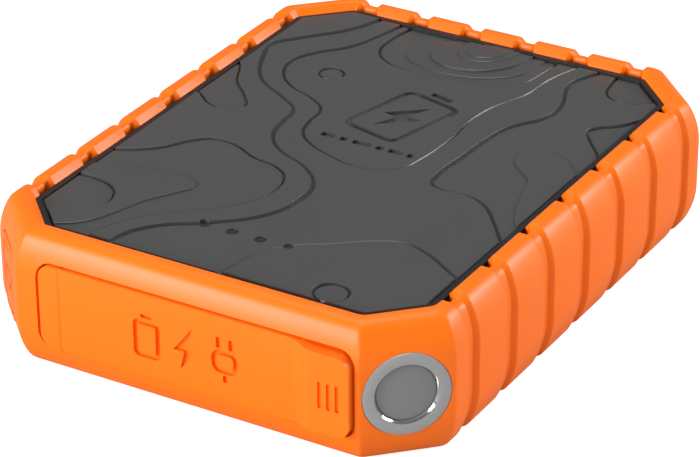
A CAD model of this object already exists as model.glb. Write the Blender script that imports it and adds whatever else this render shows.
# %% [markdown]
# A rugged power bank: an orange elastomer jacket with cross grooves wraps a flat case, a dark
# plate with a relief like a hill map lies in each face, a rubber cover hides the ports, and a
# torch and a power button sit in the two front corners. The engineering model is loaded first,
# because each piece made here has to stay in its box and move with its bodies.

# %% Load the frame
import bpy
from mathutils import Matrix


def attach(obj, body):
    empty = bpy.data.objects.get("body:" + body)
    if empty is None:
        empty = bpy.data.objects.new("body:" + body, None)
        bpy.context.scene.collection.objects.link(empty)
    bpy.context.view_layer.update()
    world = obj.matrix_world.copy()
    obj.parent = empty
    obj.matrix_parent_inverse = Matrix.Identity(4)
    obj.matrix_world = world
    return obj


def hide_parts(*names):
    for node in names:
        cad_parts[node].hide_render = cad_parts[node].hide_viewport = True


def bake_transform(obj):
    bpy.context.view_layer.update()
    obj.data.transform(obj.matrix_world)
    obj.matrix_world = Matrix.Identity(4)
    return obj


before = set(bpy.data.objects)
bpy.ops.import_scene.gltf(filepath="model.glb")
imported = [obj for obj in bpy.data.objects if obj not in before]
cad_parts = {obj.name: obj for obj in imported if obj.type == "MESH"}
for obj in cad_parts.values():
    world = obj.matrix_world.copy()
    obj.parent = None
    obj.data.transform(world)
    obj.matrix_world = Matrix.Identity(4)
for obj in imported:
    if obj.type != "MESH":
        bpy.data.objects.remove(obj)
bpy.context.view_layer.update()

# %% Tools from Blender and the unit
import math
import bmesh
import bpy
from mathutils import Matrix, Vector

MM = 0.001
UP = Vector((0, 0, 1))
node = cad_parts
print(len(node), "pieces in the engineering model")

# %% [markdown]
# The outline of the whole object is an octagon: a rectangle with its corners cut at 45 degrees.
# Every ring round it, such as the plate's edge or the jacket's side, is the same octagon moved
# outwards by an offset. Moving a corner outwards along its mitre keeps the walls parallel, so
# one function that gives the mitre point at an offset is enough for all of them.

# %% The octagon and its offsets
HALF_X, HALF_Y, LEG = 34.0, 45.25, 6.54
LEG_GROWTH = 2 - math.sqrt(2)
HEIGHT = 23.2
MIDDLE = HEIGHT / 2
PLATE_LEVEL = 21.9
SIDE = 6.5
FRONT = HALF_Y + SIDE
TURNS = [math.radians(45 * i) for i in range(8)]


def outward(angle):
    """The level direction at an angle from +X."""
    return Vector((math.cos(angle), math.sin(angle), 0))


def reach(angle, offset):
    """Distance in mm from the middle to the wall that faces this way, at an offset."""
    way = outward(angle)
    if abs(abs(way.x) - 1) < 0.01:
        return HALF_X + offset
    if abs(abs(way.y) - 1) < 0.01:
        return HALF_Y + offset
    return (HALF_X + HALF_Y - LEG) * math.sqrt(0.5) + offset


def mitre(number, offset):
    """The corner between wall number and the next one, at an offset, in mm."""
    first, second = TURNS[number], TURNS[number] + math.radians(45)
    a, b = outward(first), outward(second)
    da, db = reach(first, offset), reach(second, offset)
    turn = a.x * b.y - a.y * b.x
    return Vector(((da * b.y - db * a.y) / turn, (a.x * db - b.x * da) / turn, 0))


print("plate corners", [tuple(round(c, 2) for c in mitre(i, 0)[:2]) for i in range(8)])

# %% [markdown]
# A few helpers for every later piece: turn a bmesh into an object, and cut or join closed
# meshes. A boolean is how a maker would mill an opening: the shape of the cutter is simple and
# the shape left behind is right by itself. Its modifier is applied at once, so that the mesh
# that is shown is the mesh that is kept.

# %% Make an object of a bmesh


def solid(name, bm, outward_faces=True):
    """Close a bmesh into an object that sits at the origin."""
    bmesh.ops.remove_doubles(bm, verts=bm.verts, dist=0.0005 * MM)
    if outward_faces:
        bmesh.ops.recalc_face_normals(bm, faces=bm.faces)
    mesh = bpy.data.meshes.new(name)
    bm.to_mesh(mesh)
    bm.free()
    thing = bpy.data.objects.new(name, mesh)
    bpy.context.scene.collection.objects.link(thing)
    return thing


def settle(thing):
    """Apply a piece's modifiers."""
    bpy.context.view_layer.update()
    ready = thing.evaluated_get(bpy.context.evaluated_depsgraph_get())
    mesh = bpy.data.meshes.new_from_object(ready)
    thing.modifiers.clear()
    thing.data = mesh
    return thing


def carve(piece, tool, way="DIFFERENCE"):
    """Cut, join or keep what two closed meshes share, and put the tool away. Faces with more
    than four corners are split after it, because a later exact cut through them can fail."""
    step = piece.modifiers.new("carve", "BOOLEAN")
    step.operation = way
    step.solver = "EXACT"
    step.object = tool
    settle(piece)
    bpy.data.objects.remove(tool)
    bm = bmesh.new()
    bm.from_mesh(piece.data)
    bmesh.ops.dissolve_degenerate(bm, edges=bm.edges, dist=0.0002 * MM)
    bmesh.ops.triangulate(bm, faces=[f for f in bm.faces if len(f.verts) > 4])
    bm.to_mesh(piece.data)
    bm.free()
    return piece


def soften(piece, angle=35):
    """Shade a piece smooth, with a crease where it turns by more than an angle."""
    piece.data.shade_smooth()
    piece.data.set_sharp_from_angle(angle=math.radians(angle))
    return piece


# %% [markdown]
# The jacket is one soft moulding. Its wall has a thin lip over the case, a flat crest that
# guards the plate, and a round shoulder that is a small arc and then a large one. A section like
# that swept round the octagon gives the whole ring. It could be made as a curve with a bevel
# object, but then the grooves would be boolean cuts with hard edges. Here the section is pushed
# from station to station by extruding its loop, and each groove is a dip in the section at its
# stations, so its edges come out soft.

# %% The jacket's section and a groove's section
CREST_IN, CREST_OUT = 2.0, 2.6
SHOULDER_DROP, SHOULDER_SMALL = 7.6, 2.6
GROOVE_CREST, GROOVE_SIDE, GROOVE_RIM = 0.95, 0.8, 2.3
GROOVE_START, GROOVE_SMALL = 3.1, 1.5
RIM_REACH, RIM_PACE = 1.5, 2.0  # section points this near the opening reach full depth sooner
LIP_UNDER, CASE_SIDE = 20.7, 3.4


def shoulder(start, edge, top, small, drop, parts=(5, 8)):
    """Points from a flat crest, round a small arc and a large one, to an upright side."""
    wide = edge - start
    large = (wide ** 2 + (drop - small) ** 2 - small ** 2) / (2 * (wide - small))
    knee = math.asin((large - wide) / (large - small))
    points = []
    for i in range(parts[0] + 1):
        lean = knee * i / parts[0]
        points.append((start + small * math.sin(lean), top - small * (1 - math.cos(lean))))
    for i in range(1, parts[1] + 1):
        lean = knee + (math.pi / 2 - knee) * i / parts[1]
        points.append((edge - large * (1 - math.sin(lean)), top - drop + large * math.cos(lean)))
    return points


def upper_half(groove):
    """The upper half of the section as (offset, height), along a crest or along a groove."""
    top = HEIGHT - (GROOVE_CREST if groove else 0)
    wall = 1.0 / 1.3
    rim = GROOVE_RIM if groove else 1.0
    inner = rim + (top - PLATE_LEVEL) * wall
    start = GROOVE_START if groove else CREST_OUT
    edge = SIDE - (GROOVE_SIDE if groove else 0)
    small = GROOVE_SMALL if groove else SHOULDER_SMALL
    drop = SHOULDER_DROP - (GROOVE_CREST if groove else 0)
    soft = 0.5 if groove else 1.0
    points = [(rim, LIP_UNDER), (rim, PLATE_LEVEL - (0.1 if groove else 0))]
    points += [(inner + across * soft, top - down * soft)
               for across, down in ((-0.16, 0.21), (-0.05, 0.09), (0.1, 0.02), (0.26, 0.0))]
    points += shoulder(start, edge, top, small, drop)
    points += [(edge, 14.2), (edge, 12.9)]
    return points


def closed_section(groove):
    """The whole section, mirrored about the middle height."""
    upper = upper_half(groove)
    lower = [(t, HEIGHT - z) for t, z in upper[::-1]]
    middle = [(upper[-1][0], MIDDLE)]
    inside = [(CASE_SIDE, HEIGHT - LIP_UNDER), (CASE_SIDE, LIP_UNDER)]
    return upper + middle + lower + inside


CREST_LINE, GROOVE_LINE = closed_section(False), closed_section(True)
print(len(CREST_LINE), "points round the jacket's section")

# %% The stations round the jacket
GROOVE_FLOOR = 0.9
WALL_LEAN = 0.885
EDGE_STEPS = [(-0.14, 1.0), (-0.02, 0.98), (0.08, 0.92), (0.5, 0.5), (0.9, 0.1), (1.02, 0.02), (1.18, 0.0)]
ROWS = {0: [11.93 * k for k in range(-3, 4)], 4: [11.93 * k for k in range(-3, 4)],
        2: [10.18 * (k - 2.5) for k in range(6)]}


def corner_round(offset):
    """Radius of a corner of the ring at an offset: softer at the rim than at the side."""
    return 2.2 - 1.1 * min(1, max(0, (offset - 2.6) / 2.6))


def corner_ring(number, share):
    """The section at one of the eight corners. share runs from 0 to 1 round its rounding."""
    ring = []
    angle = TURNS[number] + math.radians(45) * share
    for offset, height in CREST_LINE:
        small = corner_round(offset) if offset > 1 else 1.2
        ring.append(mitre(number, offset - small) + outward(angle) * small + UP * height)
    return ring


def wall_ring(number, along, depth):
    """The section across a straight wall. along is a list of places, and depth a list of
    shares of the groove's depth, one for each point."""
    angle = TURNS[number]
    side = outward(angle + math.pi / 2)
    ring = []
    for (t0, z0), (t1, z1), place, share in zip(CREST_LINE, GROOVE_LINE, along, depth):
        offset, height = t0 + (t1 - t0) * share, z0 + (z1 - z0) * share
        ring.append(outward(angle) * reach(angle, offset) + side * place + UP * height)
    return ring


def groove_depth(index):
    """How far the section's point moves between crest and groove, in mm."""
    (t0, z0), (t1, z1) = CREST_LINE[index], GROOVE_LINE[index]
    return max(GROOVE_CREST, math.hypot(t1 - t0, z1 - z0))


def groove_rings(number, centre):
    """Stations over one groove: down its first wall, over its floor and up the other wall."""
    shares = [0.0 if t == CASE_SIDE else RIM_PACE if t < RIM_REACH else 1.0 for t, z in CREST_LINE]
    rings = []
    for side, steps in ((-1, EDGE_STEPS[::-1]), (1, EDGE_STEPS)):
        for far, deep in steps:
            along = [centre + side * (GROOVE_FLOOR + far * WALL_LEAN * groove_depth(i))
                     for i in range(len(CREST_LINE))]
            rings.append(wall_ring(number, along, [min(1.0, deep * s) for s in shares]))
    return rings


stations = []
for wall in range(8):
    stations += [corner_ring((wall - 1) % 8, 1.0)]
    for centre in sorted(ROWS.get(wall, [])):
        stations += groove_rings(wall, centre)
    stations += [corner_ring(wall, i / 5) for i in range(5)]
print(len(stations), "stations round the jacket")

# %% Extrude the section round the ring
bm = bmesh.new()
first = [bm.verts.new(point * MM) for point in stations[0]]
loop = [bm.edges.new((first[i], first[(i + 1) % len(first)])) for i in range(len(first))]
start_loop = loop
for ring in stations[1:]:
    grown = bmesh.ops.extrude_edge_only(bm, edges=loop)["geom"]
    loop = [e for e in grown if isinstance(e, bmesh.types.BMEdge)]
    bm.verts.ensure_lookup_table()
    fresh = bm.verts[-len(first):]
    for point, vertex in zip(ring, fresh):
        vertex.co = point * MM
bmesh.ops.bridge_loops(bm, edges=loop + start_loop)
jacket = solid("jacket_moulding", bm)
print("jacket ring:", len(jacket.data.polygons), "faces")

# %% [markdown]
# The openings in the jacket are cut where other pieces come through: the recess for the port
# cover with the port window behind it, the stepped bore for the torch, and the opening for the
# power button. Each cutter is a flat outline with rounded corners, extruded, and set down on
# the wall that it cuts.

# %% Rounded bars, round bars and their place on a wall
CHAMFER_MIDDLE = (FRONT, HALF_X + SIDE, LEG + SIDE * LEG_GROWTH)
CORNER_X = CHAMFER_MIDDLE[1] - CHAMFER_MIDDLE[2] / 2
CORNER_Y = CHAMFER_MIDDLE[2] / 2 - CHAMFER_MIDDLE[0]
FRONT_SEAT = (Vector((0, -FRONT, 0)), Vector((0, -1, 0)))
TORCH_SEAT = (Vector((CORNER_X, CORNER_Y, MIDDLE)), Vector((1, -1, 0)).normalized())
BUTTON_SEAT = (Vector((-CORNER_X, CORNER_Y, MIDDLE)), Vector((-1, -1, 0)).normalized())
PLATE_SEAT = (Vector((0, 0, 0)), UP)
SNUG = 0.03


def set_down(bm, seat):
    """Put a mesh made in mm, with Z pointing outwards, on its wall and into metres."""
    place, way = seat
    side = Vector((1, 0, 0)) if way == UP else UP.cross(way)
    turn = Matrix((side, way.cross(side), way)).transposed().to_4x4()
    bmesh.ops.transform(bm, matrix=Matrix.Scale(MM, 4) @ Matrix.Translation(place) @ turn, verts=bm.verts)
    return bm


def flat_face(bm, points, height, radius=0, steps=5):
    """A level face through a few points, with its corners rounded."""
    corners = [bm.verts.new((x, y, height)) for x, y in points]
    face = bm.faces.new(corners)
    if radius:
        bmesh.ops.bevel(bm, geom=corners, offset=radius, segments=steps, profile=0.5,
                        affect="VERTICES", material=-1)
        bm.faces.ensure_lookup_table()
        face = bm.faces[-1]
    return face


def raise_face(bm, face, height):
    """Extrude a face straight to a height and return the moved face."""
    grown = bmesh.ops.extrude_face_region(bm, geom=[face])["geom"]
    moved = [f for f in grown if isinstance(f, bmesh.types.BMFace)][0]
    for vertex in moved.verts:
        vertex.co.z = height
    return moved


def bar(name, points, low, high, seat, radius=0, steps=5):
    """A bar with a rounded outline between two heights over a wall."""
    bm = bmesh.new()
    raise_face(bm, flat_face(bm, points, low, radius, steps), high)
    return solid(name, set_down(bm, seat))


def rectangle(left, right, low, high):
    """The corners of a rectangle."""
    return [(left, low), (right, low), (right, high), (left, high)]


def round_bar(name, radius, low, high, seat, at=(0, 0), sides=96):
    """A round bar between two heights over a wall."""
    bm = bmesh.new()
    bmesh.ops.create_cone(bm, cap_ends=True, segments=sides, radius1=radius, radius2=radius,
                          depth=high - low, matrix=Matrix.Translation((at[0], at[1], (low + high) / 2)))
    return solid(name, set_down(bm, seat))


# %% Cut the openings
RECESS = rectangle(-26.4, 29.5, 4.5, 19.2)
WINDOW = rectangle(-18.5, 23.5, 6.6, 17.0)
BUTTON_WIDE, BUTTON_TALL, BUTTON_GAP = 8.0, 12.8, 0.3
for cutter in (
    bar("recess_cut", RECESS, -2.3, 3, FRONT_SEAT, 2.7, 8),
    bar("window_cut", WINDOW, -6, 1, FRONT_SEAT, 1.2, 5),
    round_bar("flange_cut", 6.8 + SNUG, -0.85, 3, TORCH_SEAT),
    round_bar("barrel_cut", 5.9 + SNUG, -4.5, 0, TORCH_SEAT),
    bar("button_cut", rectangle(-BUTTON_WIDE / 2 - BUTTON_GAP, BUTTON_WIDE / 2 + BUTTON_GAP,
                                -BUTTON_TALL / 2 - BUTTON_GAP, BUTTON_TALL / 2 + BUTTON_GAP),
        -4.5, 3, BUTTON_SEAT, 1.6, 6),
):
    carve(jacket, cutter)
soften(jacket, 30)
print("jacket with openings:", len(jacket.data.polygons), "faces")

# %% [markdown]
# The top plate carries a relief like a contour map: flat levels about a third of a millimetre
# apart, with a step and a fine trough between them, and a basin that holds the mark. It could
# be a height pattern in the material, but edges that catch the light have to be real. So each level is cut
# as a shallow basin, or joined on as an island, from a smooth closed line through its points.
# Insets of the outline's face give the profile: a narrow soft lip that makes a light line, a
# steep step, and a trough at its foot that stays dark.
#
# The lines below are a trace of the photo. Their points were read off it by eye, turned into
# mm by a separate program with the fitted camera, and then thinned, moved and extended off the
# plate by hand. report.md says which rule this departs from.

# %% A smooth closed line as a face
LIP, LIP_DROP, STEP, TROUGH, TROUGH_FLOOR = 0.15, 0.1, 0.06, 0.4, 0.25
# Small shares that keep any two troughs from lying at one height, which exact cuts dislike.
HEIGHT_SHARE, RUN_SHARE = 0.13, 0.01
ABOVE_ALL, ISLAND_BASE, ISLAND_FOOT, ISLAND_ROOT = 25.0, 20.8, 20.82, 0.1
OFF_PLATE = (35.5, 46.5)


def smooth_face(bm, points, height):
    """A level face whose edge runs smoothly through the points. Points off the plate
    are plain corners."""
    curve = bpy.data.curves.new("line", "CURVE")
    curve.dimensions = "3D"
    line = curve.splines.new("BEZIER")
    line.use_cyclic_u = True
    line.resolution_u = 7
    line.bezier_points.add(len(points) - 1)
    for knot, (x, y) in zip(line.bezier_points, points):
        knot.co = (x, y, height)
    for knot, (x, y) in zip(line.bezier_points, points):
        off = abs(x) > OFF_PLATE[0] or abs(y) > OFF_PLATE[1]
        knot.handle_left_type = knot.handle_right_type = "VECTOR" if off else "AUTO"
    holder = bpy.data.objects.new("line", curve)
    bpy.context.scene.collection.objects.link(holder)
    bpy.context.view_layer.update()
    mesh = bpy.data.meshes.new_from_object(holder.evaluated_get(bpy.context.evaluated_depsgraph_get()))
    bpy.data.objects.remove(holder)
    before = set(bm.faces)
    bm.from_mesh(mesh)
    bmesh.ops.remove_doubles(bm, verts=bm.verts, dist=0.02)
    bmesh.ops.contextual_create(bm, geom=bm.edges[:])
    face = [f for f in bm.faces if f not in before][0]
    return face


def inset_to(bm, face, width, height):
    """Inset a face by a width and move the inner face to a height."""
    bmesh.ops.inset_region(bm, faces=[face], thickness=width, use_even_offset=True)
    for vertex in face.verts:
        vertex.co.z = height
    return face


def basin_cutter(name, outline, high, low, deep, run):
    """A cutter for a basin: a soft lip, a steep step, and a trough at its foot that comes
    back up to the basin's level over a run."""
    bm = bmesh.new()
    face = raise_face(bm, outline(bm, ABOVE_ALL), high + 0.02)
    for width, height in ((LIP, high - LIP_DROP), (STEP, deep + 0.02),
                          (TROUGH_FLOOR, deep), (run, low)):
        inset_to(bm, face, width, height)
    return solid(name, set_down(bm, PLATE_SEAT))


def island_pair(name, outline, high, low, deep, run):
    """For an island: a cutter for the trough round it, and the island to join on."""
    bm = bmesh.new()
    face = raise_face(bm, outline(bm, ABOVE_ALL), low + 0.02)
    inset_to(bm, face, run, deep)
    trough = solid(name + "_trough", set_down(bm, PLATE_SEAT))
    bm = bmesh.new()
    face = outline(bm, ISLAND_BASE)
    inset_to(bm, face, run + TROUGH_FLOOR, ISLAND_BASE)
    bmesh.ops.delete(bm, geom=[f for f in bm.faces if f != face], context="FACES")
    face = raise_face(bm, bm.faces[:][0], max(ISLAND_FOOT, deep - ISLAND_ROOT))
    for width, height in ((STEP, high - LIP_DROP), (LIP, high)):
        inset_to(bm, face, width, height)
    return trough, solid(name, set_down(bm, PLATE_SEAT))


# %% The lines of the relief, in mm from the plate's middle
CLIFF = [(-21, 50), (-24.5, 39.5), (-30, 32.5), (-33.3, 27.5), (-32.3, 22.5), (-27.5, 14.2), (-21, 10),
         (-17, 7), (-16.3, 3), (-15.3, -2), (-11.3, -6.6), (-4.7, -9.8), (-0.6, -14), (0.3, -19.2),
         (-1.6, -26), (-7, -31.6), (-14, -37), (-17, -42), (-17.5, -50)]
FRONT_HILL = [(2, -50), (3.2, -44.5), (4.2, -39), (6.5, -34.3), (12.9, -29.3), (18, -25.5), (21.5, -24),
              (25, -24.7), (33.8, -29.7), (42, -33)]
LOWLAND = CLIFF + FRONT_HILL + [(42, 50)]
BASIN = [(-17, 50), (-19.4, 40), (-21.5, 33.5), (-25, 29), (-27.2, 24), (-26, 18.8), (-22, 14.8),
         (-16.5, 12.4), (-13.4, 9.8), (-12.9, 5.8), (-11.6, 1.2), (-8, -2), (-3.3, -4), (1.5, -5.2),
         (6, -4.5), (9.2, -1.6), (10.4, 3), (11, 11), (10.6, 19), (11.3, 24.5), (14, 32), (14.6, 38.5),
         (17, 46.6), (18, 50)]
EAST = [(23, 50), (18.3, 42), (17.6, 38), (20, 30), (19.9, 26), (16.5, 20), (15.3, 14), (14.8, 6),
        (14.4, -1), (15.2, -4.3), (18, -5.4), (22, -5.2), (25.6, -6.6), (29.4, -10.6), (33.7, -16),
        (42, -24), (42, 50)]
WEST_HOLLOW = [(-42, -22), (-34.2, -19), (-28.2, -15), (-25, -10.2), (-22, -7.7), (-18, -7.7), (-13, -10),
               (-8.3, -11), (-4.9, -13.8), (-3.8, -18), (-4.8, -23), (-8.5, -28.4), (-14.5, -33.8),
               (-19, -39.5), (-21.5, -50), (-42, -50)]
TONGUE = [(-42, -28), (-34.5, -25), (-26.3, -22.6), (-19, -21.6), (-15.6, -23.4), (-17, -26.8),
          (-19.7, -31.5), (-21.5, -37), (-24, -42), (-28.5, -45.5), (-34, -50), (-42, -50)]
POND = [(-39, -28.9), (-34, -28.4), (-30.6, -28.3), (-27, -29.4), (-24.6, -32.3), (-24.3, -36),
        (-26.5, -38.8), (-31, -41.5), (-36.5, -43), (-39, -43.3)]
WEST_COVE = [(-42, 22), (-33.9, 18.7), (-29.6, 11.8), (-25.4, 7.4), (-23.7, 4.6), (-25, 2.2),
             (-28.5, 1.5), (-34, 5), (-42, 9)]
CRATER = [(-15, 50), (-17.2, 40), (-16.4, 34.3), (-13.5, 31.5), (-9, 30.1), (-3.5, 30.1), (3.5, 31.6),
          (8.5, 33.2), (11.2, 36), (12.1, 40), (12.8, 46.6), (13, 50)]
CRATER_RIM = [(-4, 50), (-6.5, 45.5), (-9, 42.3), (-11.6, 39), (-12, 36.5), (-10, 34.2), (-6, 32.8),
              (0, 32.7), (5, 34.6), (8.7, 38), (10, 43), (10.5, 50)]
CRATER_HILL = [(-2.5, 50), (-4.2, 45), (-6.2, 42.4), (-7.8, 39.5), (-7.6, 37.1), (-5.3, 35.3),
               (-1.8, 34.7), (1.6, 35.3), (5, 38), (7, 41.4), (8, 46), (8.5, 50)]
CRATER_TOP = [(-0.5, 50), (-1.5, 45), (-3.4, 42.8), (-4, 40.5), (-2.5, 38.6), (1, 38.6), (4, 41),
              (5.5, 45), (6, 50)]
SUMMIT = [(0.8, 50), (0.1, 44.9), (-1.4, 43), (-2.6, 41.2), (-1.5, 39.8), (1, 39.9), (3.1, 42), (4.2, 45.4),
          (4.6, 50)]
EAST_COVE = [(42, 36.5), (34, 33.4), (31.5, 29.8), (28.2, 26.6), (27.8, 24.6), (29.3, 22.2), (32, 19),
             (34.5, 16), (42, 14)]
EAST_ISLAND = [(42, -13), (33.9, -10.4), (31.4, -6.3), (29.3, 0), (27.7, 4.8), (24.5, 7.6), (22.7, 10.2),
               (22.9, 12.8), (25, 14.7), (29, 14.2), (33.6, 10), (42, 5)]
NORTH_COVE = [(23, 50), (23.3, 42), (24.2, 38.8), (25.8, 37.3), (28.2, 36.8), (31.1, 37.8), (34, 40.4),
              (42, 46), (42, 50)]

# %% Build the plate level by level
HILL, LAND, FLOOR_LEVEL = 22.2, 21.9, 21.6
bm = bmesh.new()
raise_face(bm, flat_face(bm, rectangle(-37, 37, -48, 48), LIP_UNDER), HILL)
top_plate = solid("top_plate_relief", set_down(bm, PLATE_SEAT))


def dimple(x, y, radius):
    """A round outline for a small hollow."""
    def make(bm, height):
        ring = bmesh.ops.create_circle(bm, cap_ends=True, segments=48, radius=radius,
                                       matrix=Matrix.Translation((x, y, height)))
        return ring["verts"][0].link_faces[0]
    return make


def along(points):
    """A smooth outline for a level."""
    def make(bm, height):
        return smooth_face(bm, points, height)
    return make


for name, outline, high, low, run, basin in (
    ("lowland", along(LOWLAND), HILL, LAND, 0.55, True),
    ("basin", along(BASIN), LAND, FLOOR_LEVEL, 0.3, True),
    ("east", along(EAST), LAND, FLOOR_LEVEL, 0.45, True),
    ("west_hollow", along(WEST_HOLLOW), HILL, LAND, 0.2, True),
    ("tongue", along(TONGUE), HILL, LAND, 0.2, False),
    ("pond", along(POND), HILL, LAND - 0.15, 0.2, True),
    ("west_cove", along(WEST_COVE), HILL, LAND, 0.2, True),
    ("crater", along(CRATER), FLOOR_LEVEL, 21.3, 0.25, True),
    ("crater_rim", along(CRATER_RIM), 21.5, 21.3, 0.2, False),
    ("crater_hill", along(CRATER_HILL), 21.85, 21.5, 0.25, False),
    ("crater_top", along(CRATER_TOP), 22.0, 21.85, 0.15, False),
    ("summit", along(SUMMIT), 22.15, 22.0, 0.1, False),
    ("east_cove", along(EAST_COVE), FLOOR_LEVEL, 21.3, 0.35, True),
    ("east_island", along(EAST_ISLAND), 21.85, FLOOR_LEVEL, 0.2, False),
    ("north_cove", along(NORTH_COVE), FLOOR_LEVEL, 21.35, 0.2, True),
    ("front_dimple", dimple(20.0, -42.1, 3.1), HILL, LAND, 0.2, True),
    ("back_dimple", dimple(-18.7, 23.1, 2.5), FLOOR_LEVEL, 21.35, 0.2, True),
):
    deep = low - TROUGH + HEIGHT_SHARE * (high - low) + RUN_SHARE * run
    if basin:
        carve(top_plate, basin_cutter(name, outline, high, low, deep, run))
    else:
        trough, island = island_pair(name, outline, high, low, deep, run)
        carve(top_plate, trough)
        carve(top_plate, island, "UNION")
print("relief:", len(top_plate.data.polygons), "faces")

# %% [markdown]
# The underside carries the same moulding, turned over, so it is copied before the marks of the
# top are cut. Then the relief is trimmed to the octagon. The trimming tool leans in a little
# towards its top, which leaves a narrow bright edge round the plate whatever its level is.

# %% Trim the plates to the octagon
EDGE_GAP = 0.12


def octagon_face(bm, offset, height):
    """A level octagon at an offset."""
    corners = [mitre(i, offset) for i in range(8)]
    return bm.faces.new([bm.verts.new((c.x, c.y, height)) for c in corners])


def plate_trim(name):
    """The outline of a plate as a block that keeps everything inside it."""
    bm = bmesh.new()
    face = raise_face(bm, octagon_face(bm, -EDGE_GAP, LIP_UNDER), 21.05)
    inset_to(bm, face, 0.28, 22.6)
    return solid(name, set_down(bm, PLATE_SEAT))


bm = bmesh.new()
bm.from_mesh(top_plate.data)
bottom_plate = solid("bottom_plate_relief", bm)
for plate in (top_plate, bottom_plate):
    carve(plate, plate_trim("plate_trim"), "INTERSECT")
bm = bmesh.new()
bm.from_mesh(bottom_plate.data)
bmesh.ops.rotate(bm, cent=Vector((0, 0, MIDDLE)) * MM, matrix=Matrix.Rotation(math.pi, 3, "Y"),
                 verts=bm.verts)
bm.to_mesh(bottom_plate.data)
bm.free()

# %% [markdown]
# The mark in the basin is a plain battery with a bolt in it, and a row of short dashes stands
# where a line of lettering could be. Both are engraved half a millimetre deep.

# %% Engrave the mark and drill the indicator holes
MARK_AT = (-0.3, 14.6)
MARK_DEEP = 0.5
BOLT = [(1.6, 5.4), (-3.3, -0.9), (-0.5, -0.9), (-1.6, -5.4), (3.3, 0.9), (0.5, 0.9)]


def moved(points, at, turn=0, size=1):
    """Points turned, scaled and moved."""
    c, s = math.cos(turn) * size, math.sin(turn) * size
    return [(x * c - y * s + at[0], x * s + y * c + at[1]) for x, y in points]


def frame_bar(name, outer, inner, low, high, seat, radius, wall):
    """A closed band between two rounded rectangles."""
    band = bar(name, outer, low, high, seat, radius, 6)
    return carve(band, bar(name + "_in", inner, low - 1, high + 1, seat, radius - wall, 6))


mark_low = FLOOR_LEVEL - MARK_DEEP
tilt = math.radians(-14)
marks = [
    frame_bar("battery_line", moved(rectangle(-5.9, 5.9, -8.4, 8.4), MARK_AT, tilt),
              moved(rectangle(-4.7, 4.7, -7.2, 7.2), MARK_AT, tilt), mark_low, 24, PLATE_SEAT, 2.2, 1.2),
    bar("battery_end", moved(rectangle(-2.2, 2.2, 8.9, 10.2), MARK_AT, tilt), mark_low, 24,
        PLATE_SEAT, 0.4),
    bar("bolt", moved(BOLT, MARK_AT, tilt), mark_low, 24, PLATE_SEAT, 0.25, 3),
]
DASHES = [(-8.6, 2.6), (-5.1, 1.4), (-2.8, 3.4), (1.5, 1.4), (3.8, 2.6), (7.2, 1.2)]
for number, (start, wide) in enumerate(DASHES):
    marks.append(bar("dash_%d" % number, rectangle(start, start + wide, 2.2, 3.6), mark_low, 24,
                     PLATE_SEAT, 0.3, 3))
LED_PLACES = [(-0.3 + 5 * (i - 1.5), -33.1) for i in range(4)]
marks += [round_bar("led_hole_%d" % i, 1.0, 20, 24, PLATE_SEAT, at, 40)
          for i, at in enumerate(LED_PLACES)]
for tool in marks:
    carve(top_plate, tool)
soften(top_plate, 18)
soften(bottom_plate, 18)
print("plate:", len(top_plate.data.polygons), "faces")

# %% [markdown]
# The port cover is one rubber moulding that bends at a crease: the short end is held in the
# jacket, and the long panel swings away from the ports. On the bench it is a flat section with
# a ramped grip tab, extruded over its height and trimmed to a rounded outline. The notch on its
# back leaves a thin web, which is the hinge. Its mesh is divided finely there, so that it bends
# between the two bodies instead of tearing.

# %% The cover's section, seen from above
HINGE = -22.0
COVER_LEFT, COVER_RIGHT, COVER_LOW, COVER_HIGH = -25.9, 29.2, 4.8, 18.9
TAB_START, TAB_TOP, TAB_PROUD = 19.2, 22.6, 1.25
WEB = [-0.7 + 0.1 * i for i in range(15)]


def crease(x):
    """Depth of the soft crease in the front face."""
    return -0.16 * max(0.0, 1 - ((x - HINGE) / 0.45) ** 2) if abs(x - HINGE) < 0.45 else 0.0


def ramp(x):
    """Height of the front face on the way up to the tab."""
    share = min(1.0, max(0.0, (x - TAB_START) / (TAB_TOP - TAB_START)))
    return TAB_PROUD * share * share * (3 - 2 * share)


def notch(x):
    """Depth of the back face near the hinge."""
    share = min(1.0, max(0.0, (abs(x - HINGE) - 0.3) / 0.8))
    return -0.8 - 1.2 * share


front_line = [(COVER_LEFT, 0.0)] + [(HINGE + w, crease(HINGE + w)) for w in WEB]
front_line += [(TAB_START + 0.34 * i, ramp(TAB_START + 0.34 * i)) for i in range(11)]
front_line += [(COVER_RIGHT, TAB_PROUD)]
back_line = [(COVER_RIGHT, -2.0), (HINGE + 1.2, -2.0)]
back_line += [(HINGE - w, notch(HINGE - w)) for w in [-1.0, -0.85] + WEB + [0.85, 1.0]]
back_line += [(HINGE - 1.2, -2.3), (COVER_LEFT, -2.3)]

# %% Extrude the section and trim it to the outline
bm = bmesh.new()
section = bm.faces.new([bm.verts.new((x, COVER_LOW, out)) for x, out in front_line + back_line])
grown = bmesh.ops.extrude_face_region(bm, geom=[section])["geom"]
bmesh.ops.translate(bm, vec=(0, COVER_HIGH - COVER_LOW, 0),
                    verts=[v for v in grown if isinstance(v, bmesh.types.BMVert)])
cover = solid("port_cover", set_down(bm, FRONT_SEAT))
TAB_EDGE = 0.35
outline_tool = bar("cover_outline", [
    (COVER_LEFT, COVER_LOW), (19.0, COVER_LOW), (22.5, COVER_LOW + TAB_EDGE),
    (COVER_RIGHT, COVER_LOW + TAB_EDGE), (COVER_RIGHT, COVER_HIGH - TAB_EDGE),
    (22.5, COVER_HIGH - TAB_EDGE), (19.0, COVER_HIGH), (COVER_LEFT, COVER_HIGH)], -3, 3, FRONT_SEAT, 2.2, 7)
carve(cover, outline_tool, "INTERSECT")

# %% Round the edges of the panel and the tab


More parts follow.
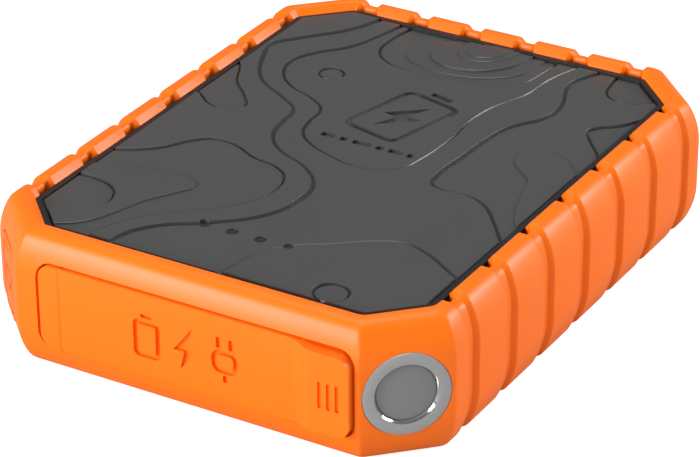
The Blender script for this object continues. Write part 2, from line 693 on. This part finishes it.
def round_edges(piece, width, steps, wanted):
    """Bevel the sharp edges whose both ends a test accepts. It gets (x, out, height) in mm."""
    bm = bmesh.new()
    bm.from_mesh(piece.data)
    bmesh.ops.dissolve_degenerate(bm, edges=bm.edges, dist=0.001 * MM)

    def local(vertex):
        return (vertex.co.x / MM, -vertex.co.y / MM - FRONT, vertex.co.z / MM)

    edges = [e for e in bm.edges if len(e.link_faces) == 2 and e.calc_face_angle() > math.radians(50)
             and all(wanted(*local(v)) for v in e.verts)]
    bmesh.ops.bevel(bm, geom=edges, offset=width * MM, offset_type="OFFSET", segments=steps, profile=0.5,
                    affect="EDGES", clamp_overlap=True, material=-1)
    bmesh.ops.recalc_face_normals(bm, faces=bm.faces)
    bm.to_mesh(piece.data)
    bm.free()
    return len(edges)


print("tab edges", round_edges(cover, 0.7, 5, lambda x, out, z: x > 21.0 and out > 0.6))
print("panel edges", round_edges(cover, 0.18, 3, lambda x, out, z: x < 21.4 and -0.3 < out < 1.0))

# %% Grip grooves and the signs over the ports
SIGN_ROW = 11.7
SIGN_DEEP = 0.6
GRIP_MIDDLE, GRIP_PITCH, GRIP_HALF = 25.8, 1.48, 0.33
tools = [bar("grip_%d" % i, rectangle(GRIP_MIDDLE + GRIP_PITCH * (i - 1) - GRIP_HALF,
                                      GRIP_MIDDLE + GRIP_PITCH * (i - 1) + GRIP_HALF, 9.35, 13.85),
             TAB_PROUD - 0.4, 3, FRONT_SEAT, 0.3, 4) for i in range(3)]
battery_at, bolt_at, plug_at = (-6.4, SIGN_ROW), (0.6, SIGN_ROW), (7.35, SIGN_ROW)
tools += [
    frame_bar("sign_battery", moved(rectangle(-2.4, 2.4, -3.6, 2.8), battery_at),
              moved(rectangle(-1.6, 1.6, -2.8, 2.0), battery_at), -SIGN_DEEP, 1, FRONT_SEAT, 1.0, 0.8),
    bar("sign_battery_end", moved(rectangle(-1.0, 1.0, 3.15, 3.8), battery_at), -SIGN_DEEP, 1, FRONT_SEAT,
        0.2, 3),
    bar("sign_bolt", moved(BOLT, bolt_at, 0, 0.68), -SIGN_DEEP, 1, FRONT_SEAT, 0.15, 3),
    frame_bar("sign_plug", moved(rectangle(-2.3, 2.3, -2.3, 1.6), plug_at),
              moved(rectangle(-1.5, 1.5, -1.5, 0.8), plug_at), -SIGN_DEEP, 1, FRONT_SEAT, 1.5, 0.8),
    bar("sign_prong_left", moved(rectangle(-1.45, -0.75, 1.9, 3.7), plug_at), -SIGN_DEEP, 1, FRONT_SEAT,
        0.2, 3),
    bar("sign_prong_right", moved(rectangle(0.75, 1.45, 1.9, 3.7), plug_at), -SIGN_DEEP, 1, FRONT_SEAT,
        0.2, 3),
    bar("sign_plug_cord", moved(rectangle(-0.35, 0.35, -3.8, -2.6), plug_at), -SIGN_DEEP, 1, FRONT_SEAT,
        0.2, 3),
]
for tool in tools:
    carve(cover, tool)
soften(cover, 32)
print("cover:", len(cover.data.polygons), "faces")

# %% The sealing skirt on the cover's back
skirt = frame_bar("cover_skirt", rectangle(-18.2, 22.9, 6.9, 16.7), rectangle(-17.0, 21.7, 8.1, 15.5),
                  -4.2, -2.0, FRONT_SEAT, 1.3, 1.1)
bead = frame_bar("cover_bead", rectangle(-18.4, 23.1, 6.7, 16.9), rectangle(-17.6, 22.3, 7.5, 16.1),
                 -3.5, -3.05, FRONT_SEAT, 1.4, 0.8)
carve(skirt, bead, "UNION")
soften(skirt, 35)

# %% [markdown]
# The power button is a rubber pad on a stem. Its outline is a rounded rectangle with a soft
# front edge, an engraved border and the usual power sign: a ring that is open at the top, with
# a short bar in the opening.

# %% The power button
half_wide, half_tall = BUTTON_WIDE / 2, BUTTON_TALL / 2
bm = bmesh.new()
face = flat_face(bm, rectangle(-half_wide, half_wide, -half_tall, half_tall), -1.6, 1.3, 6)
face = raise_face(bm, face, -0.25)
inset_to(bm, face, 0.07, -0.08)
inset_to(bm, face, 0.18, 0.0)
button = solid("power_button_pad", set_down(bm, BUTTON_SEAT))
carve(button, round_bar("button_stem", 1.2, -4.98, -1.5, BUTTON_SEAT, sides=48), "UNION")
ring = round_bar("power_ring", 2.1, -0.3, 1, BUTTON_SEAT, (0, 0), 64)
carve(ring, round_bar("power_ring_in", 1.5, -1, 2, BUTTON_SEAT, (0, 0), 64))
carve(ring, bar("power_gap", rectangle(-0.75, 0.75, 0.4, 3), -1, 2, BUTTON_SEAT))
for tool in (
    ring,
    bar("power_bar", rectangle(-0.3, 0.3, 0.7, 2.8), -0.3, 1, BUTTON_SEAT, 0.25, 4),
    frame_bar("button_border", rectangle(-3.1, 3.1, -5.5, 5.5), rectangle(-2.75, 2.75, -5.15, 5.15),
              -0.22, 1, BUTTON_SEAT, 1.0, 0.35),
):
    carve(button, tool)
soften(button, 32)
print("button:", len(button.data.polygons), "faces")

# %% [markdown]
# The torch is turned work: bezel, lens and reflector are round about one axis, so each is a
# half section spun about it. The bezel's inner edge has a narrow polished bevel that catches
# the lights as two bright crescents.

# %% Spin the torch's parts


def turned(name, profile, seat, steps=128):
    """A closed section, as (radius, height), spun about a seat's axis."""
    bm = bmesh.new()
    row = [bm.verts.new((radius, 0, height)) for radius, height in profile]
    edges = [bm.edges.new((a, b)) for a, b in zip(row, row[1:] + row[:1])]
    bmesh.ops.spin(bm, geom=row + edges, cent=(0, 0, 0), axis=(0, 0, 1), angle=math.tau, steps=steps,
                   use_merge=True, use_duplicate=False)
    bmesh.ops.remove_doubles(bm, verts=bm.verts, dist=0.0005)
    bmesh.ops.dissolve_degenerate(bm, edges=bm.edges, dist=0.0005)
    return solid(name, set_down(bm, seat))


bezel = turned("torch_ring", [
    (4.2, -4.6), (5.9, -4.6), (5.9, -0.8), (6.8, -0.8), (6.8, -0.2), (6.74, -0.07), (6.6, 0.0),
    (5.04, 0.0), (4.97, -0.02), (4.72, -0.27), (4.66, -0.36), (4.65, -1.5), (4.2, -1.5)], TORCH_SEAT)
lens = turned("torch_window", [
    (0, -1.5), (4.6, -1.5), (4.6, -0.72), (4.5, -0.62), (4.35, -0.58), (3.0, -0.53), (1.5, -0.49),
    (0, -0.47)],
    TORCH_SEAT)
reflector = turned("torch_mirror", [
    (1.5, -7), (1.9, -7), (2.5, -6.4), (3.2, -5.3), (3.8, -4.2), (4.15, -3.2), (4.15, -1.55), (3.75, -1.55),
    (3.75, -3.2), (3.4, -4.2), (2.8, -5.3), (2.1, -6.3)], TORCH_SEAT)
for piece in (bezel, lens, reflector):
    soften(piece, 28)
print("torch:", [len(piece.data.polygons) for piece in (bezel, lens, reflector)])

# %% [markdown]
# Materials. A real surface is never one flat value, so each has a fine pattern for its grain
# and a slow one for its gloss. All patterns read object coordinates, so they stay put when a
# body moves. Colours are written as they look on screen and turned to linear light once.

# %% Colour, and one function that adds a node


def paint(code):
    """A screen colour such as 'FF7A1E' as linear light with alpha."""
    parts = [int(code[i:i + 2], 16) / 255 for i in (0, 2, 4)]
    return tuple(p / 12.92 if p <= 0.04045 else ((p + 0.055) / 1.055) ** 2.4 for p in parts) + (1.0,)


def add(material, kind, settings=None, values=None, links=None):
    """Add a node, set its options and inputs, and link its inputs to other outputs."""
    new = material.node_tree.nodes.new(kind)
    for key, value in (settings or {}).items():
        setattr(new, key, value)
    for key, value in (values or {}).items():
        new.inputs[key].default_value = value
    for key, source in (links or {}).items():
        material.node_tree.links.new(source, new.inputs[key])
    return new


def finish(name, colour, second, rough, grain_mm, bump_mm, drift_mm=14.0, **shader):
    """A named finish: two close colours that drift, a grain and a gloss that follows it."""
    material = bpy.data.materials.new(name)
    material.use_nodes = True
    core = material.node_tree.nodes["Principled BSDF"]
    place = add(material, "ShaderNodeTexCoord").outputs["Object"]
    drift = add(material, "ShaderNodeTexNoise", values={"Scale": 1 / (drift_mm * MM), "Detail": 3.0},
                links={"Vector": place})
    mix = add(material, "ShaderNodeMix", {"data_type": "RGBA"}, {6: paint(colour), 7: paint(second)},
              {0: drift.outputs["Fac"]})
    grain = add(material, "ShaderNodeTexNoise", values={"Scale": 1 / (grain_mm * MM), "Detail": 2.0},
                links={"Vector": place})
    gloss = add(material, "ShaderNodeMapRange", values={"To Min": rough[0], "To Max": rough[1]},
                links={"Value": grain.outputs["Fac"]})
    bump = add(material, "ShaderNodeBump", values={"Strength": 1.0, "Distance": bump_mm * MM},
               links={"Height": grain.outputs["Fac"]})
    tree = material.node_tree
    tree.links.new(mix.outputs[2], core.inputs["Base Color"])
    tree.links.new(gloss.outputs["Result"], core.inputs["Roughness"])
    tree.links.new(bump.outputs["Normal"], core.inputs["Normal"])
    for key, value in shader.items():
        core.inputs[key.replace("_", " ")].default_value = value
    return material


# %% The finishes of this object
orange = finish("thermoplastic elastomer, satin moulded", "FF7506", "FF7104", (0.34, 0.42), 0.3, 0.004,
                Specular_IOR_Level=0.35)
# A dye-through orange elastomer from a fine-blasted mould: even colour and a wide soft highlight.
plate_black = finish("glass-filled nylon, spark-eroded", "474747", "434343", (0.3, 0.36), 0.25, 0.003)
# Dark grey nylon with the faint grain of a spark-eroded mould, and light along every edge.
case_black = finish("ABS and polycarbonate, black, textured", "141414", "181818", (0.4, 0.55), 0.3, 0.005)
# The case itself is near black, so the gap round the plate reads as a dark line.
bezel_grey = finish("zinc bezel, bead blasted", "A8A8A8", "A2A2A2", (0.36, 0.44), 0.2, 0.003, Metallic=0.25)
# A cast ring with a satin spray finish: an even mid grey.
lens_grey = finish("polycarbonate lens, smoked", "8C8C8C", "888888", (0.12, 0.2), 0.8, 0.001,
                   Transmission_Weight=0.15, IOR=1.585)
# The window is lightly smoked, so the mirror behind it shows only faintly.
mirror = finish("vapour-deposited aluminium", "E6E8EA", "DDE0E3", (0.06, 0.12), 0.5, 0.001, Metallic=1.0)
# A bright coating on a moulded cup.
steel = finish("stainless steel, drawn", "C9CBCC", "BFC1C3", (0.22, 0.34), 0.15, 0.002, Metallic=1.0)
# Port shells and screws: drawn sheet with a fine grain.
gold = finish("gold-plated phosphor bronze", "E8B64C", "DDA93E", (0.2, 0.3), 0.1, 0.001, Metallic=1.0)
# Contacts and cell tabs.
port_black = finish("liquid crystal polymer, black", "1B1B1C", "222224", (0.45, 0.6), 0.12, 0.004)
# Tongues and chip bodies: dull black.
seal_black = finish("silicone rubber, dark", "26262A", "2B2B2F", (0.5, 0.62), 0.3, 0.006)
# Seals and the plunger's gasket.
board_green = finish("glass epoxy laminate, green mask", "14502C", "1A5E35", (0.25, 0.38), 1.2, 0.006)
# Solder mask over glass cloth, half gloss.
board_white = finish("aluminium board, white mask", "E9EAE8", "E1E2E0", (0.35, 0.45), 0.6, 0.003)
# The torch's board carries heat away.
chip = finish("epoxy chip body", "202123", "27282B", (0.5, 0.62), 0.15, 0.005)
# Sawn black packages.
can = finish("aluminium can, printed sleeve off", "B9BCC0", "AEB2B7", (0.3, 0.4), 0.4, 0.004, Metallic=1.0)
# Capacitors and the coil's shield.
led_white = finish("LED package with phosphor", "F3E9A8", "F7F0C6", (0.3, 0.4), 0.4, 0.002)
# A milky package with a yellow phosphor.
guide_dark = finish("acrylic light guide, smoked", "282829", "242425", (0.1, 0.18), 0.6, 0.001, IOR=1.49)
# Smoked rods under the plate's holes, dark until they are lit.
plunger_white = finish("acetal, natural", "DCDAD2", "D2D0C8", (0.35, 0.48), 0.4, 0.003)
# The switch's plunger.
pouch = finish("aluminium pouch laminate", "A9ADB2", "9EA3A9", (0.26, 0.42), 2.2, 0.05, Metallic=0.9)
# Embossed foil round each cell.
foam = finish("polyurethane foam, open cell", "3A3A3C", "454548", (0.8, 0.95), 0.45, 0.12)
# Soft spacers that let the cells breathe.
red_wire = finish("silicone insulation, red", "A81C18", "B5231C", (0.4, 0.5), 0.5, 0.003)
black_wire = finish("silicone insulation, black", "1C1C1E", "232326", (0.4, 0.5), 0.5, 0.003)
# Flexible leads.
print(len(bpy.data.materials), "materials")

# %% Give each piece its finish and its body
CAD_FINISHES = {
    "case_top": case_black, "case_bottom": case_black, "case_seal": seal_black, "case_screws": steel,
    "usb_wide_shell_1": steel, "usb_wide_shell_2": steel, "usb_wide_tongue_1": port_black,
    "usb_wide_tongue_2": port_black, "usb_wide_contacts_1": gold, "usb_wide_contacts_2": gold,
    "usb_small_shell": steel, "usb_small_tongue": port_black, "usb_small_contacts": gold,
    "port_bezel": case_black, "main_board": board_green, "light_guide": guide_dark, "boost_coil": can,
    "capacitors": can, "power_controller": chip, "charge_controller": chip,
    "lower_foam": foam, "upper_foam": foam, "cell_spacer": foam, "lower_cell": pouch, "upper_cell": pouch,
    "cell_tabs": gold, "protection_board": board_green, "temperature_sensor": chip, "torch_seal": seal_black,
    "torch_lamp": led_white, "torch_board": board_white, "button_seal": seal_black,
    "switch_plunger": plunger_white, "button_switch": chip, "button_board": board_green,
    "battery_lead_plus": red_wire, "battery_lead_minus": black_wire, "torch_lead_plus": red_wire,
    "torch_lead_minus": black_wire,
}
CAD_FINISHES.update({"indicator_led_%d" % i: led_white for i in range(1, 5)})
for name, material in CAD_FINISHES.items():
    node[name].data.materials.clear()
    node[name].data.materials.append(material)

NEW_PIECES = [
    (jacket, orange, "housing", "jacket_elastomer", ["jacket"]),
    (top_plate, plate_black, "housing", "plate_plastic", ["top_plate"]),
    (bottom_plate, plate_black, "housing", "plate_plastic", ["bottom_plate"]),
    (skirt, seal_black, "flap", "seal_rubber", ["flap_seal"]),
    (button, orange, "button", "button_elastomer", ["power_button"]),
    (bezel, bezel_grey, "housing", "bezel_metal", ["torch_bezel"]),
    (lens, lens_grey, "housing", "lens_clear", ["torch_lens"]),
    (reflector, mirror, "housing", "mirror_coating", ["torch_reflector"]),
    (cover, orange, None, "flap_elastomer", ["port_flap", "flap_anchor"]),
]
polish = finish("zinc bezel, polished bevel", "C8C8C8", "C2C2C2", (0.1, 0.16), 0.3, 0.001, Metallic=1.0)
# The inner bevel is cut bright after spraying.
for piece, material, body, slot, nodes in NEW_PIECES:
    piece.data.materials.clear()
    piece.data.materials.append(material)
    if body:
        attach(piece, body)
    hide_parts(*nodes)
bezel.data.materials.append(polish)
BEVEL_FROM, BEVEL_TO, BEVEL_FOOT = 4.66, 5.02, -0.5
for face in bezel.data.polygons:
    away = (Vector(face.center) / MM - TORCH_SEAT[0])
    depth = away.dot(TORCH_SEAT[1])
    spread = (away - TORCH_SEAT[1] * depth).length
    if BEVEL_FROM < spread < BEVEL_TO and depth > BEVEL_FOOT:
        face.material_index = 1
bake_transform(cover)
print("pieces made here:", [entry[0].name for entry in NEW_PIECES])

# %% [markdown]
# The studio: a plain floor, three large soft lights and a small one low in front. The floor
# glows for the camera alone, so that it is white without lighting the object from below; this
# also hides most of the contact shadow. The camera stands in front of the right corner, a
# little under thirty degrees up, with a long lens that keeps the edges nearly parallel. Its
# numbers come from a fit to the photo that a separate program made.

# %% Floor and camera
FLOOR_GLOW, AMBIENT = 0.85, 0.25
bm = bmesh.new()
bmesh.ops.create_grid(bm, x_segments=1, y_segments=1, size=4)
floor = solid("floor", bm, False)
paper = finish("studio paper, white", "B4B4B4", "B0B0B0", (0.8, 0.9), 0.5, 0.001,
               Emission_Color=(1, 1, 1, 1))
seen = add(paper, "ShaderNodeLightPath")
glow = add(paper, "ShaderNodeMath", {"operation": "MULTIPLY"}, {1: FLOOR_GLOW},
           {0: seen.outputs["Is Camera Ray"]})
paper.node_tree.links.new(glow.outputs["Value"],
                          paper.node_tree.nodes["Principled BSDF"].inputs["Emission Strength"])
floor.data.materials.append(paper)

TARGET = Vector((12.15, -23.36, PLATE_LEVEL)) * MM
AZIMUTH, ELEVATION, ROLL = math.radians(30.56), math.radians(28.15), math.radians(-0.288)
DISTANCE = 0.4908
back = Vector((math.sin(AZIMUTH) * math.cos(ELEVATION), -math.cos(AZIMUTH) * math.cos(ELEVATION),
               math.sin(ELEVATION)))
right = Vector((math.cos(AZIMUTH), math.sin(AZIMUTH), 0))
above = right.cross(-back)
turned_right = right * math.cos(ROLL) + above * math.sin(ROLL)
turned_above = -right * math.sin(ROLL) + above * math.cos(ROLL)
stand = Matrix((turned_right, turned_above, back)).transposed().to_4x4()
stand.translation = TARGET + back * DISTANCE
camera_data = bpy.data.cameras.new("camera")
camera_data.sensor_width, camera_data.lens, camera_data.clip_start = 36, 166.43, 0.01
camera = bpy.data.objects.new("camera", camera_data)
camera.matrix_world = stand
bpy.context.scene.collection.objects.link(camera)
bpy.context.scene.camera = camera

# %% Lights
LIGHTS = (
    ("front left softbox", (-0.45, -0.78, 0.34), (0.5, 0.35), 8.4),
    ("right softbox", (0.72, 0.62, 0.40), (0.5, 0.5), 9.0),
    ("overhead softbox", (-0.1, 0.1, 0.9), (0.5, 0.5), 3.0),
    ("front fill", (0.16, -0.90, 0.14), (0.3, 0.3), 2.4),
)
for name, place, (wide, tall), power in LIGHTS:
    light = bpy.data.lights.new(name, "AREA")
    light.shape, light.size, light.size_y, light.energy = "RECTANGLE", wide, tall, power
    lamp = bpy.data.objects.new(name, light)
    lamp.location = place
    lamp.rotation_euler = (Vector((0, 0, 0.01)) - Vector(place)).to_track_quat("-Z", "Y").to_euler()
    bpy.context.scene.collection.objects.link(lamp)
world = bpy.data.worlds.new("studio")
world.use_nodes = True
world.node_tree.nodes["Background"].inputs["Color"].default_value = (1, 1, 1, 1)
world.node_tree.nodes["Background"].inputs["Strength"].default_value = AMBIENT
bpy.context.scene.world = world
bpy.context.scene.view_settings.view_transform = "Standard"
